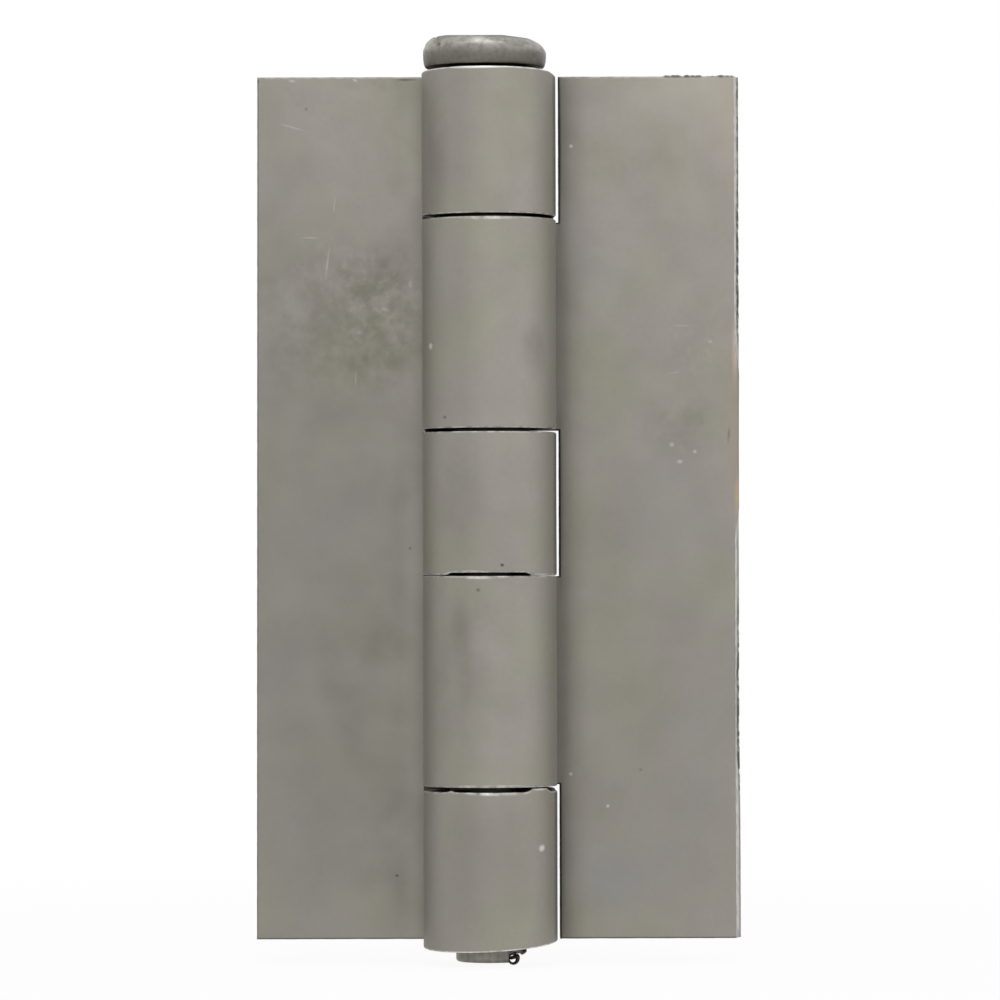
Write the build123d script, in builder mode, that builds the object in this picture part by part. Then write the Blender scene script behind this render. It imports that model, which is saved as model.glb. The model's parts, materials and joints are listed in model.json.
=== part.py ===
"""Flat butt hinge for welding on: two plain steel leaves whose tabs are rolled round a headed pin.

The hinge stands upright and lies open flat. +Z runs up along the pin, +X to the right across the
leaves and +Y backwards, into the frame and the door that the leaves are welded to. The origin is the
centre of the frame leaf's back face, so both back faces lie in the plane Y = 0.
"""

import os
from math import asin, cos, degrees, radians, sin

from build123d import *

# Driving dimensions of the leaves, in millimetres
leaf_length = 101.6           # along the pin
plate_thickness = 3.04        # rolled steel sheet
frame_leaf_reach = 27.4       # pin axis to the frame leaf's outer edge, at half its length
frame_edge_skew = 0.24        # this edge runs out of square and reaches further at the bottom
door_leaf_reach = 29.6        # pin axis to the door leaf's outer edge
frame_notch_tuck = 0.4        # the frame leaf's notch edges hide behind the barrel's side
door_notch_gap = 0.33         # daylight between the barrel's side and the door leaf's notch edges
frame_notch_play = 0.1        # between the frame leaf's notch ends and the door leaf's knuckles
sheared_slope_width = 0.72    # the shear left the door leaf's outer edge sloping: width on the front face
sheared_slope_depth = 2.4     # and depth towards the back

# Driving dimensions of the knuckles
top_knuckle_length = 16.87
middle_knuckle_length = 16.43
door_knuckle_length = 24.55
knuckle_gap = 0.35            # play between knuckles
bottom_gap = 0.5              # the lowest gap is the widest
seam_gap = 0.25               # between a tab's rolled end and its own leaf
knuckle_edge_break = 0.25
top_tilt = 1.5                # slope of the highest tab's end, rolled a little askew, in degrees
top_tilt_heading = -105.0     # the way that the slope rises: forwards and a little to the left, in degrees
bottom_overhang = 0.31        # the lowest tab drifted down as it was rolled
bottom_tilt = 4.6             # slope of its end
bottom_tilt_heading = 52.0    # backwards and to the right

# Driving dimensions of the pin
pin_diameter = 9.525
pin_clearance = 0.05          # all round, in every knuckle
head_diameter = 14.4
head_seat_diameter = 13.7
head_height = 3.58
head_belt = 1.4               # height of its widest girth above the seat
head_gap = 0.57               # under the head, above the leaves' top edges
head_offset = 0.45            # the upset head sits off centre, to the left
head_flat_diameter = 9.2
head_flat_offset = 1.45
tail_diameter = 8.0
tail_projection = 2.3         # below the leaves
tail_neck = 0.9               # length of the taper down to the tail
tail_round = 0.4
tear_reach = 2.15             # the shear tore the tail's right edge away, from here outwards
tear_height = 1.0
burr_radius = 0.75            # the torn metal curled up into a chip
burr_thickness = 0.3
burr_width = 1.2

# Places worked out from the dimensions
half_length = leaf_length / 2
bore_radius = pin_diameter / 2 + pin_clearance
barrel_radius = bore_radius + plate_thickness
frame_notch_reach = barrel_radius - frame_notch_tuck
door_notch_reach = barrel_radius + door_notch_gap
pin_x = (frame_leaf_reach + frame_notch_reach) / 2
pin_y = -barrel_radius
curl_angle = 270 + degrees(asin((bore_radius - seam_gap) / barrel_radius))
pin_axis = Axis((pin_x, pin_y, 0), (0, 0, 1))

# Knuckle ends from the top of the stack down, each as (lower end, upper end)
top_knuckle = (half_length - top_knuckle_length, half_length)
second_top = top_knuckle[0] - knuckle_gap
second_knuckle = (second_top - door_knuckle_length, second_top)
third_top = second_knuckle[0] - knuckle_gap
third_knuckle = (third_top - middle_knuckle_length, third_top)
fourth_top = third_knuckle[0] - knuckle_gap
fourth_knuckle = (fourth_top - door_knuckle_length, fourth_top)
fifth_top = fourth_knuckle[0] - bottom_gap
fifth_knuckle = (-half_length, fifth_top)
top_margin = barrel_radius * sin(radians(top_tilt))
bottom_margin = barrel_radius * sin(radians(bottom_tilt)) + bottom_overhang


def knuckle_section(turn):
    """Section of a rolled tab: a ring round the pin that starts where the back face touches the barrel
    and ends just short of its own leaf. turn is 1 for anticlockwise and -1 for clockwise."""
    with BuildSketch() as section:
        with BuildLine():
            outside = CenterArc((pin_x, pin_y), barrel_radius, 90, turn * curl_angle)
            inside = CenterArc((pin_x, pin_y), bore_radius, 90, turn * curl_angle)
            Line(outside @ 0, inside @ 0)
            Line(outside @ 1, inside @ 1)
        make_face()
    return section.sketch


def cut_notch(side_x, lower, upper):
    """Open the notch for the other leaf's knuckle, from side_x to the pin axis."""
    with Locations(((side_x + pin_x) / 2, (lower + upper) / 2)):
        Rectangle(abs(pin_x - side_x), upper - lower, mode=Mode.SUBTRACT)


def sloping_end(height, tilt, heading):
    """Plane across the barrel that meets the pin axis at height and rises the way that heading points."""
    rise = sin(radians(tilt))
    along_x = -rise * cos(radians(heading))
    along_y = -rise * sin(radians(heading))
    return Plane(origin=(pin_x, pin_y, height), z_dir=(along_x, along_y, cos(radians(tilt))))


def barrel_rims(leaf):
    """The curved outer edges at the ends of a leaf's knuckles."""
    def on_barrel(edge):
        middle = edge @ 0.5
        radius = Vector(middle.X - pin_x, middle.Y - pin_y).length
        return abs(radius - barrel_radius) < pin_clearance
    return leaf.edges().filter_by(GeomType.LINE, reverse=True).filter_by(on_barrel)


# Frame leaf: three rolled tabs, the highest and lowest with sloping ends, on a plate with two notches
top_end = sloping_end(half_length, top_tilt, top_tilt_heading)
bottom_end = sloping_end(-half_length - bottom_overhang, bottom_tilt, bottom_tilt_heading)
with BuildPart() as frame_leaf:
    for lower, upper in (
        (top_knuckle[0], top_knuckle[1] + top_margin),
        third_knuckle,
        (fifth_knuckle[0] - bottom_margin, fifth_knuckle[1]),
    ):
        with BuildSketch(Plane.XY.offset(lower)):
            add(knuckle_section(-1))
        extrude(amount=upper - lower)
    split(bisect_by=top_end, keep=Keep.BOTTOM)
    split(bisect_by=bottom_end, keep=Keep.TOP)
    chamfer(barrel_rims(frame_leaf), knuckle_edge_break)
    with BuildSketch(Plane.XZ):
        with BuildLine():
            Polyline(
                (pin_x, half_length),
                (pin_x - frame_leaf_reach + frame_edge_skew / 2, half_length),
                (pin_x - frame_leaf_reach - frame_edge_skew / 2, -half_length),
                (pin_x, -half_length),
                close=True,
            )
        make_face()
        for lower, upper in (second_knuckle, fourth_knuckle):
            cut_notch(pin_x - frame_notch_reach, lower - frame_notch_play, upper + frame_notch_play)
    extrude(amount=plate_thickness)
frame_leaf.part.label = "frame_leaf"

# Door leaf: two rolled tabs on a plate with notches above, between and below them
with BuildPart() as door_leaf:
    for lower, upper in (second_knuckle, fourth_knuckle):
        with BuildSketch(Plane.XY.offset(lower)):
            add(knuckle_section(1))
        extrude(amount=upper - lower)
    chamfer(barrel_rims(door_leaf), knuckle_edge_break)
    with BuildSketch(Plane.XZ):
        with Locations((pin_x + door_leaf_reach / 2, 0)):
            Rectangle(door_leaf_reach, leaf_length)
        cut_notch(pin_x + door_notch_reach, second_knuckle[1], half_length)
        cut_notch(pin_x + door_notch_reach, fourth_knuckle[1], second_knuckle[0])
        cut_notch(pin_x + door_notch_reach, -half_length, fourth_knuckle[0])
    extrude(amount=plate_thickness)
    outer_face = door_leaf.faces().sort_by(Axis.X)[-1]
    front_edge = outer_face.edges().sort_by(Axis.Y)[0]
    chamfer(front_edge, sheared_slope_depth, sheared_slope_width, reference=outer_face)
door_leaf.part.label = "door_leaf"

# Hinge pin: turned shank and tail, lopsided upset head, and a torn edge with a chip at the cropped end
head_seat = half_length + head_gap
head_top = head_seat + head_height
tail_end = -half_length - tail_projection
tail_start = -half_length - bottom_overhang
shoulder_angles = (0, 25, 50, 70, 90)    # stations of the quarter ellipse from the girth to the flat top
with BuildPart() as hinge_pin:
    with BuildSketch(Plane((pin_x, pin_y, 0), x_dir=(1, 0, 0), z_dir=(0, -1, 0))):
        with BuildLine():
            Polyline(
                (0, tail_end),
                (tail_diameter / 2, tail_end),
                (tail_diameter / 2, tail_start),
                (pin_diameter / 2, tail_start + tail_neck),
                (pin_diameter / 2, head_seat + head_height / 2),
                (0, head_seat + head_height / 2),
                close=True,
            )
        make_face()
    revolve(axis=pin_axis)
    fillet(hinge_pin.edges().sort_by(Axis.Z)[0], tail_round)
    with BuildSketch(Plane((pin_x - head_offset, pin_y, head_seat))):
        Circle(head_seat_diameter / 2)
    for angle in shoulder_angles:
        outward = cos(radians(angle))
        diameter = head_flat_diameter + (head_diameter - head_flat_diameter) * outward
        centre_x = pin_x - head_flat_offset + (head_flat_offset - head_offset) * outward
        height = head_belt + (head_height - head_belt) * sin(radians(angle))
        with BuildSketch(Plane((centre_x, pin_y, head_seat + height))):
            Circle(diameter / 2)
    loft()
    torn_width = tail_diameter / 2 - tear_reach
    with Locations((pin_x + tear_reach + torn_width / 2, pin_y, tail_end + tear_height / 2)):
        Box(torn_width, tail_diameter, tear_height, mode=Mode.SUBTRACT)
    burr_x = pin_x + tail_diameter / 2 - 1.8 * burr_radius
    burr_y = pin_y - tail_diameter / 4
    with BuildSketch(Plane((burr_x, burr_y, tail_end + burr_radius / 2), z_dir=(0, -1, 0))):
        Circle(burr_radius)
        Circle(burr_radius - burr_thickness, mode=Mode.SUBTRACT)
    extrude(amount=burr_width)
hinge_pin.part.label = "hinge_pin"

os.makedirs("parts", exist_ok=True)
export_step(frame_leaf.part, "parts/frame_leaf.step")
export_step(door_leaf.part, "parts/door_leaf.step")
export_step(hinge_pin.part, "parts/hinge_pin.step")
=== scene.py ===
"""Looks of a flat butt hinge: rolled steel leaves, an upset pin, and a plain white studio."""

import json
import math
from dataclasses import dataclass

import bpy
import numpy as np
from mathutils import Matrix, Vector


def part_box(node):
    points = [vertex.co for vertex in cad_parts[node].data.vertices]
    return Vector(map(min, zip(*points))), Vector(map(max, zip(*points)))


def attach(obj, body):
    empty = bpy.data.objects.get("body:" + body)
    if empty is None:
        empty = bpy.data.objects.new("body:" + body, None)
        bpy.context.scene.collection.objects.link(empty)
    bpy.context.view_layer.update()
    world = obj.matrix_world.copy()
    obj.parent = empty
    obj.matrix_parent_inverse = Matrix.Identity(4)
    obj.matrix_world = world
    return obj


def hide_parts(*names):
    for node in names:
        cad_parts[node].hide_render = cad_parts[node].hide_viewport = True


bl_info = {
    "name": "Flat butt hinge",
    "version": (1, 0, 0),
    "blender": (4, 5, 0),
    "location": "View3D > Sidebar > Hinge",
    "description": "Builds the rolled leaves and the headed pin of a plain steel butt hinge",
    "category": "Add Mesh",
}

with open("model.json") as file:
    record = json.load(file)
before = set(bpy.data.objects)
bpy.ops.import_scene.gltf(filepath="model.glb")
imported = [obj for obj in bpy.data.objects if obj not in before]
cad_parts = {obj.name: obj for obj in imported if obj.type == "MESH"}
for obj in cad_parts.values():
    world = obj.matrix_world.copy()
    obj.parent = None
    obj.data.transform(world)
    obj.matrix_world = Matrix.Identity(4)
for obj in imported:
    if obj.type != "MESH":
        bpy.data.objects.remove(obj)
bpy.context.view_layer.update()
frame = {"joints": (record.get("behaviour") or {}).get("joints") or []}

MM = 0.001

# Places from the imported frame: the leaves' backs lie in the plane Y = 0, and the barrel touches it
PIN_X, PIN_Y, _ = frame["joints"][0]["pos_m"]
BARREL_RADIUS = -PIN_Y
FRAME_LOW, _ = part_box("frame_leaf")
_, DOOR_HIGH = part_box("door_leaf")
PIN_LOW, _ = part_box("hinge_pin")
HALF_LENGTH = DOOR_HIGH.z
NEAR_END = HALF_LENGTH - 1 * MM  # edges past this height are the leaves' ends

# Camera that took the photograph, measured from the pin's axis at the middle of the leaves
CAMERA_DISTANCE = 673 * MM
CAMERA_HEIGHT = -10 * MM
AIM_X = 1.22 * MM
AIM_Z = 0.78 * MM
LENS = 207.15
SENSOR = 36.0
ROLL = math.radians(-0.155)

# Marks on the steel are placed by columns and rows of the photograph's 1000 x 1000 frame
PHOTO_SIDE = 1000
PHOTO_MIDDLE = PHOTO_SIDE / 2
PIXEL = SENSOR / PHOTO_SIDE * CAMERA_DISTANCE / LENS

# Rows between which the door leaf's sheared edge changes
PLAIN_ROWS = (356, 526)        # no slope shows
BOWED_ROWS = (380, 780)        # the edge draws back
LIGHT_BREAK_ROWS = (82, 205)
UPPER_BREAK_ROWS = (205, 335)
LOWER_BREAK_ROWS = (605, 790)
HEAVY_BREAK_ROWS = (660, 765)  # the darkest part of the lower break

# Damage to the cut edges
TOOTH = 0.012 * MM             # fine tooth of every edge
TORN_WAVES = (0.8 * MM, 1.3 * MM, 2.9 * MM, 6.1 * MM)
LIP_END = 10.5 * MM            # the torn lip runs this far from the outer corner
PUNCHED_BURR = 0.04 * MM       # along the sides of the door leaf's notches
PUNCHED_BELOW = 20 * MM        # in the notches below this height


def metres(label, description, default):
    """A length, with the name and description that the sidebar shows."""
    return bpy.props.FloatProperty(
        name=label, description=description, default=default, unit="LENGTH", precision=5)


def shade(label, description, default):
    """A colour as an sRGB hex value, with the name and description that the sidebar shows."""
    return bpy.props.StringProperty(name=label, description=description, default=default)


class HingeLeafSizes(bpy.types.PropertyGroup):
    """Sizes of the two leaves and their knuckles."""

    plate_thickness: metres("Plate thickness", "Thickness of the rolled sheet", 3.04 * MM)
    frame_notch_reach: metres(
        "Frame notch reach", "Pin axis to the frame leaf's notch edges", BARREL_RADIUS - 0.4 * MM)
    door_notch_reach: metres(
        "Door notch reach", "Pin axis to the door leaf's notch edges", BARREL_RADIUS + 0.33 * MM)
    frame_edge_skew: metres(
        "Frame edge skew", "How far the frame leaf's outer edge runs out of square", 0.24 * MM)
    top_knuckle: metres("Top knuckle", "Length of the frame leaf's highest knuckle", 16.87 * MM)
    middle_knuckle: metres("Middle knuckle", "Length of the frame leaf's middle knuckle", 16.43 * MM)
    door_knuckle: metres("Door knuckle", "Length of the door leaf's knuckles", 24.55 * MM)
    knuckle_gap: metres("Knuckle gap", "Play between neighbouring knuckles", 0.35 * MM)
    bottom_gap: metres("Bottom gap", "Play above the lowest knuckle", 0.5 * MM)
    root_play: metres("Root play", "Play left in the gaps by the roots of the frame leaf's tabs", 0.02 * MM)
    seam_gap: metres("Seam gap", "Between a tab's rolled end and its own leaf", 0.25 * MM)
    top_tilt: bpy.props.FloatProperty(
        name="Top tilt", description="Slope of the highest knuckle's end",
        default=math.radians(1.5), subtype="ANGLE")
    bottom_overhang: metres(
        "Bottom overhang", "How far the lowest tab drifted down as it was rolled", 0.31 * MM)
    bottom_tilt: bpy.props.FloatProperty(
        name="Bottom tilt", description="Slope of the lowest knuckle's end",
        default=math.radians(4.6), subtype="ANGLE")
    edge_round: metres("Edge round", "Rounding of the sheet's edges", 0.22 * MM)
    outer_round: metres("Outer edge round", "Rounding of the frame leaf's outer edge", 0.18 * MM)
    sheared_width: metres(
        "Sheared edge width", "Width of the sloping cut along the door leaf's outer edge", 0.72 * MM)
    burr_height: metres("Burr height", "Height of the torn lip on the door leaf's top edge", 0.18 * MM)


class HingePinSizes(bpy.types.PropertyGroup):
    """Sizes of the pin, its upset head and its cropped end."""

    diameter: metres("Pin diameter", "Diameter of the shank", 9.525 * MM)
    head_diameter: metres("Head diameter", "Widest girth of the head", 14.4 * MM)
    head_seat_diameter: metres("Head seat", "Diameter of the head's underside", 13.7 * MM)
    head_flat_diameter: metres("Head flat", "Diameter of the flat on top of the head", 9.2 * MM)
    head_height: metres("Head height", "Underside to top", 3.58 * MM)
    head_belt: metres("Head girth height", "Height of the widest girth above the underside", 1.4 * MM)
    head_gap: metres("Head gap", "From the leaves' top edges up to the head's underside", 0.57 * MM)
    head_offset: metres("Head offset", "How far the head sits to the left of the axis", 0.45 * MM)
    head_flat_offset: metres("Flat offset", "How far the flat sits to the left of the axis", 1.45 * MM)
    tail_diameter: metres("Tail diameter", "Diameter of the cropped end", 8.0 * MM)
    tail_projection: metres("Tail projection", "How far the pin stands out below the leaves", 2.3 * MM)
    tear_reach: metres(
        "Tear reach", "Pin axis to the place where the tail's right edge is torn away", 2.15 * MM)
    tear_height: metres("Tear height", "Height of the torn place above the cropped end", 1.0 * MM)


class HingeColours(bpy.types.PropertyGroup):
    """Colours of the steel, as sRGB hex values."""

    green_grey: shade("Green grey", "Cooler blotches of the rolled sheet", "8b887c")
    violet_grey: shade("Violet grey", "Warmer blotches of the rolled sheet", "8c8782")
    pin_grey: shade("Pin grey", "Darker grey of the upset and drawn pin", "7a766e")
    olive: shade("Olive", "Stain of old oil", "5f5c4c")
    slate: shade("Slate", "Bluish stain", "63625f")
    dusty: shade("Dusty grey", "Pale specks in the stains", "b2ae94")
    mauve: shade("Mauve", "Darker tone of the lowest knuckle", "605a5c")
    blue_grey: shade("Blue grey", "Cool patches of the door leaf", "7d8489")
    # Painted light that lifts the shade where the frame leaf meets the barrel
    junction_light: shade("Sheen", "Paler line where the frame leaf meets the barrel", "d9d5cc")
    haze: shade("Haze", "Paler top corner of the door leaf", "d8d0c4")
    pink: shade("Pink", "Faint flush on the door leaf's outer edge", "c9a9a0")
    sand: shade("Sand", "First rust beside the door leaf's outer edge", "a08f78")
    umber: shade("Umber", "Deeper rust beside the door leaf's outer edge", "94806e")
    rust: shade("Rust", "Brown smear of rust", "b39a72")
    # Also the colour of painted highlights on the knuckle rims and on the pin's head
    bright: shade("Bright steel", "Steel rubbed bright", "efece7")
    # Also the colour of painted shade: black in the knuckle gaps and under the barrel, beside the barrel,
    # and under the pin's head
    grime: shade("Grime", "Black grease and torn, oxidised edges", "1f1d1a")


@dataclass
class Blank:
    """A flat blank that is rolled into a leaf, in metres. s runs along the blank from its outer edge, z
    along the pin, and w through the sheet from the front to the back."""

    turn: int              # 1 where the plate lies to the left of the pin, -1 to the right
    reach: float           # outer edge to the line where the roll begins
    notch_reach: float     # notch edges to that line
    tabs: list             # lower and upper ends of the tabs, from the top down
    thickness: float
    curl: float            # angle of the roll
    edge_round: float
    outer_inset: float     # how far the front face stops short of the outer edge
    sheared: bool = False  # the outer edge slopes and is partly torn
    skew: float = 0.0      # how far the outer edge leans over the leaf's length
    fills: tuple = ()      # where tabs reach into their gaps: tab, side, start and end angle, height
    burr: float = 0.0      # height of the torn lip on the top edge
    slopes: tuple = ()     # sloping ends: tab, side, overhang, tilt and heading

    @property
    def middle_radius(self):
        """Radius of the sheet's middle in the barrel."""
        return BARREL_RADIUS - self.thickness / 2

    @property
    def length(self):
        """Length of the blank from its outer edge to the ends of its tabs."""
        return self.reach + self.middle_radius * self.curl

    @property
    def notch(self):
        """Where the notches begin, measured from the outer edge."""
        return self.reach - self.notch_reach

    @property
    def under_barrel(self):
        """Where the flat of the sheet passes under the barrel's side, measured from the outer edge."""
        return self.reach - BARREL_RADIUS


def graded_lines(stops, step):
    """Ascending values that pass through every stop, evenly spread and no further than step apart."""
    stops = np.unique(np.round(stops, 9))
    runs = [
        np.linspace(low, high, max(2, int(np.ceil((high - low) / step)) + 1))
        for low, high in zip(stops[:-1], stops[1:])
    ]
    return np.unique(np.round(np.concatenate(runs), 9))


def ripple(position, wavelengths):
    """Mean of sine waves of the given lengths, each with its own phase: a smooth uneven line, -1 to 1."""
    waves = [
        np.sin(2 * np.pi * position / length + 2.4 * (index + 1) ** 2)
        for index, length in enumerate(wavelengths)
    ]
    return np.mean(waves, axis=0)


def smooth_step(value, low, high):
    """0 below low, 1 above high, and the cubic 3t^2 - 2t^3 between them."""
    t = np.clip((value - low) / (high - low), 0, 1)
    return t * t * (3 - 2 * t)


def photo_place(column, row, y):
    """The point at depth y that the photograph shows at a column and row."""
    further = 1 + (y - PIN_Y) / CAMERA_DISTANCE
    x = PIN_X + (AIM_X + (column - PHOTO_MIDDLE) * PIXEL) * further
    z = CAMERA_HEIGHT + (AIM_Z - CAMERA_HEIGHT + (PHOTO_MIDDLE - row) * PIXEL) * further
    return x, y, z


def photo_height(row):
    """Height on the leaves of a row of the photograph."""
    return photo_place(PHOTO_MIDDLE, row, 0)[2]


def photo_band(z, top_row, bottom_row, fade=1.5 * MM):
    """1 between two rows of the photograph and 0 outside them, with soft ends."""
    above = smooth_step(z, photo_height(top_row) - fade, photo_height(top_row) + fade)
    below = smooth_step(z, photo_height(bottom_row) - fade, photo_height(bottom_row) + fade)
    return below - above


def tab_share(z, low, high, side):
    """0 at a tab's far end and 1 at its upper end, or at its lower end where side is below 0."""
    way = z - low if side > 0 else high - z
    return np.clip(way / (high - low), 0, 1)


def sheet_points(blank, s, z, w):
    """Place points of the blank in the hinge. Up to the line s = reach the sheet is flat: x' = s - reach,
    y' = r + w, where r is the middle radius. Past it the sheet follows the angle a = (s - reach)/r:
    x' = (r + w) sin a, y' = (r + w) cos a. w is a little uneven. A fill stretches its tab's end into
    the gap between two angles, and a sloping end slides its tab up or down to the plane
    z = end + overhang + tan(tilt) times the way along the heading. A sloping upper end is worn lower at
    one angle."""
    waviness = 0.01 * MM
    fill_fade, slope_fade = 0.12, 0.3
    fill_power, wear_power = 12, 20    # the higher, the closer they keep to a tab's end
    wear_depth, wear_angle, wear_spread = 0.4 * MM, 1.66, 0.3
    uneven = ripple(s + 0.6 * z, (31 * MM, 17 * MM)) + ripple(z - 0.4 * s, (23 * MM, 41 * MM))
    radius = blank.middle_radius
    angle = np.maximum(s - blank.reach, 0) / radius
    flat = s < blank.reach
    depth = radius + w + waviness * (uneven - 2)
    x = np.where(flat, s - blank.reach, depth * np.sin(angle))
    y = np.where(flat, depth, depth * np.cos(angle))
    outward = np.clip((blank.notch - s) / blank.notch, 0, 1)
    x = x + blank.skew * z / (2 * HALF_LENGTH) * outward
    on_tab = smooth_step(s, blank.notch - 0.1 * MM, blank.notch)
    height = z
    for (low, high), side, start, end, fill in blank.fills:
        share = tab_share(z, low, high, side) ** fill_power
        band = smooth_step(angle, start, start + fill_fade) - smooth_step(angle, end, end + fill_fade)
        height = height + side * fill * on_tab * band * share * (z >= low) * (z <= high)
    for (low, high), side, overhang, tilt, heading in blank.slopes:
        slope = side * overhang + math.tan(tilt) * (x * math.cos(heading) + y * math.sin(heading))
        share = tab_share(z, low, high, side)
        worn = wear_depth * np.exp(-((angle - wear_angle) / wear_spread) ** 2) * share ** wear_power
        height = height + slope * share * smooth_step(angle, 0, slope_fade) - worn * (side > 0)
    return np.stack([PIN_X + blank.turn * x, PIN_Y + y, height], axis=-1)


def blank_lines(blank):
    """Grid lines of the blank along s and z, set in from every edge by that edge's rounding, with one
    more line close inside each edge so that the faces stay flat up to the rounding. They lie closer near
    the outer edge, in the roll and along a sheared edge."""
    inset = blank.edge_round
    support = 0.12 * MM
    extras = (0, support, 1 * MM)
    s_stops = [
        blank.outer_inset, blank.outer_inset + support, blank.notch - inset - support, blank.notch - inset,
        blank.notch + support, blank.under_barrel, blank.under_barrel + support, blank.reach,
        blank.length - inset - support, blank.length - inset,
    ]
    lower_ends = [-HALF_LENGTH] + [tab[0] for tab in blank.tabs]
    upper_ends = [HALF_LENGTH] + [tab[1] for tab in blank.tabs]
    z_stops = [end + inset + extra for end in lower_ends for extra in extras]
    z_stops += [end - inset - extra for end in upper_ends for extra in extras]
    s_runs = (
        (blank.outer_inset, LIP_END, 0.3 * MM),
        (LIP_END, blank.reach, 0.8 * MM),
        (blank.reach, blank.length - inset, 0.4 * MM),
    )
    s_lines = [
        graded_lines([low, high] + [stop for stop in s_stops if low < stop < high], step)
        for low, high, step in s_runs
    ]
    z_step = 0.3 * MM if blank.sheared else 0.6 * MM
    return np.unique(np.concatenate(s_lines)), graded_lines(z_stops, z_step)


def torn_lip(blank, s):
    """How high the torn lip stands along the top edge, from 0 to 1: a ripple near the outer corner."""
    near_corner = (1 - smooth_step(s, 8.0 * MM, LIP_END)) * smooth_step(s, 0.3 * MM, 1.2 * MM)
    torn = np.clip(0.55 + 1.2 * ripple(s, TORN_WAVES), 0, 1)
    return torn * near_corner * (blank.burr > 0)


def edge_burr(blank, s, z, toward_s, toward_z):
    """Height of the burr on an edge: a fine tooth everywhere, the torn lip on the top edge, and a burr
    that the punch left along the sides of the door leaf's lower notches."""
    along = np.where(toward_z != 0, s, z)
    tooth = TOOTH * (ripple(along, (0.9 * MM, 2.3 * MM, 5.1 * MM)) - 1)
    top_edge = (toward_z > 0) & (z > NEAR_END)
    punched = blank.sheared & (toward_s > 0) & (s < blank.reach) & (z < PUNCHED_BELOW)
    return tooth + blank.burr * torn_lip(blank, s) * top_edge + PUNCHED_BURR * punched


def sheared_edge(blank, z, row_count):
    """Section of the sloping outer edge as rows of (out, w), from the front face to the back: a
    burnished slope, a ragged break, and a sharp back corner. Where the photograph shows no slope the
    front face runs out to the edge. Also gives how burnished and how torn each point is."""
    half = blank.thickness / 2
    steps = np.linspace(0, 1, row_count)[:, None]
    plain = photo_band(z, *PLAIN_ROWS, 2.5 * MM)
    light, upper = photo_band(z, *LIGHT_BREAK_ROWS), photo_band(z, *UPPER_BREAK_ROWS)
    lower, heavy = photo_band(z, *LOWER_BREAK_ROWS), photo_band(z, *HEAVY_BREAK_ROWS)
    slope = 1 - 0.85 * plain
    stations = (0, 0.36, 0.62, 0.75, 0.84, 1.0)
    out = np.interp(steps, stations, (0.06, 0.58, 0.93, 1.0, 0.9, 0.15))
    out = np.where(steps < 0.65, 1 - (1 - out) * slope, out)
    depth = np.interp(steps, stations, (0.03, 0.6, 0.82, 0.97, 1.0, 1.0))

    # The break begins nearer the front in the upper and heavy rows, and its dirt fades towards the back
    early = 0.12 * (upper + heavy)
    in_break = smooth_step(steps + early, 0.34, 0.44) * (1 - smooth_step(steps, 0.7, 0.86))
    ragged = ripple(z + 0.5 * MM * steps, TORN_WAVES)
    ragged = ragged + 0.55 * ripple(0.7 * z - 4 * MM * steps, (1.1 * MM, 1.9 * MM, 3.7 * MM))
    torn_rows = upper + lower + 1.1 * heavy + 0.45 * light
    bowed = 0.13 * photo_band(z, *BOWED_ROWS, 9 * MM)
    out = np.minimum(out - bowed - in_break * (0.04 + 0.16 * torn_rows * np.clip(-ragged, 0, 1)), 1)
    torn = in_break * np.clip(0.15 + torn_rows * (0.75 + 3.2 * ragged), 0, 0.98)
    torn = torn * (1 - 0.6 * smooth_step(steps, 0.54, 0.72))
    burnished = 0.42 * (1 - smooth_step(steps + early, 0.36, 0.5)) * (1 - plain)
    return out, -half + blank.thickness * depth, burnished, torn


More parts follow.
